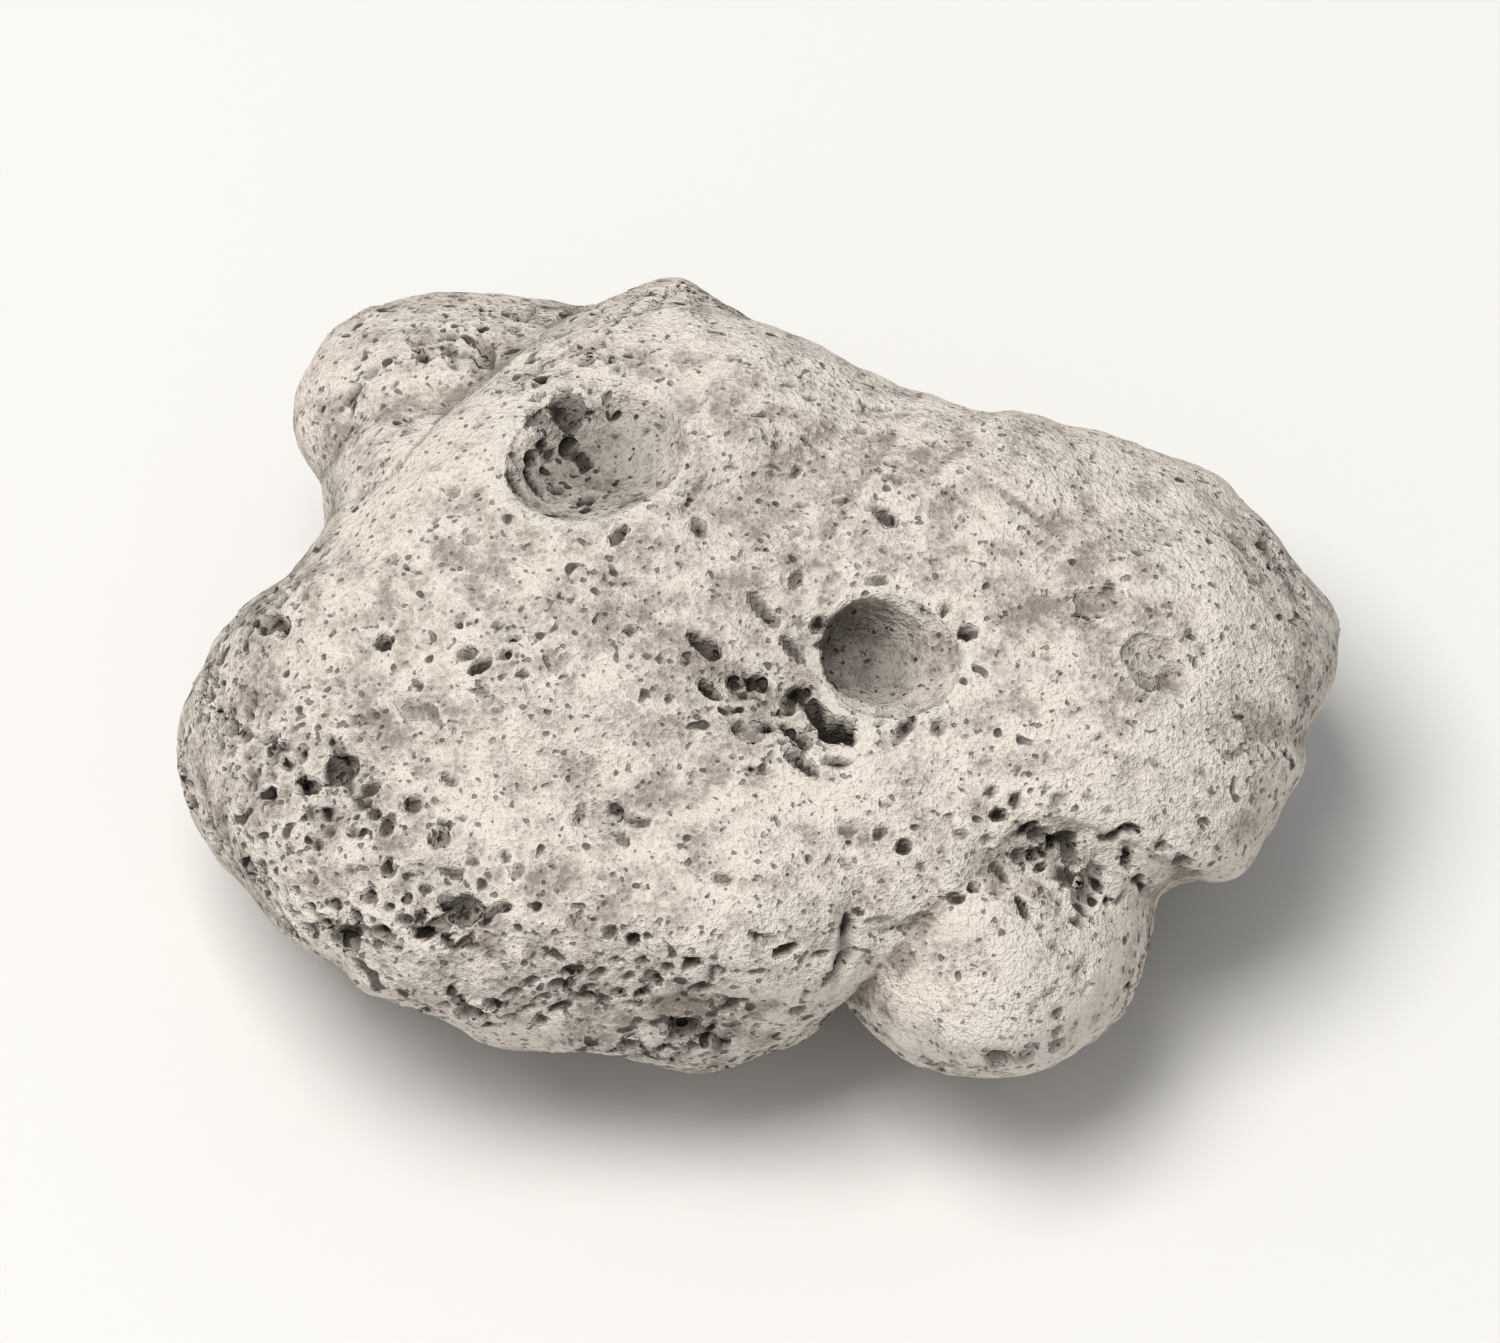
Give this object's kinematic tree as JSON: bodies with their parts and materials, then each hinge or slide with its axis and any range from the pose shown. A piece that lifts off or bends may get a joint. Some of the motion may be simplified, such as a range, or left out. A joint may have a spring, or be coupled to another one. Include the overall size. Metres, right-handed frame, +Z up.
{
  "type": "lava rock pebble",
  "caption": "Small tumbled pebble of pale volcanic stone, pitted by gas bubbles, for planting mixes, drainage and filling bowls.",
  "frame": {"origin": "middle of the stone's footprint, on the surface that it lies on", "axes": "+X along the stone's longest side, +Z up from the worn flat that it lies on, -Y toward the side whose pitted face leans to the viewer"},
  "size_m": [0.0286, 0.0224, 0.0123],
  "materials": {
    "lava_stone": "matte"
  },
  "bodies": {
    "root": {"lava_rock": "lava_stone"}
  },
  "joints": []
}
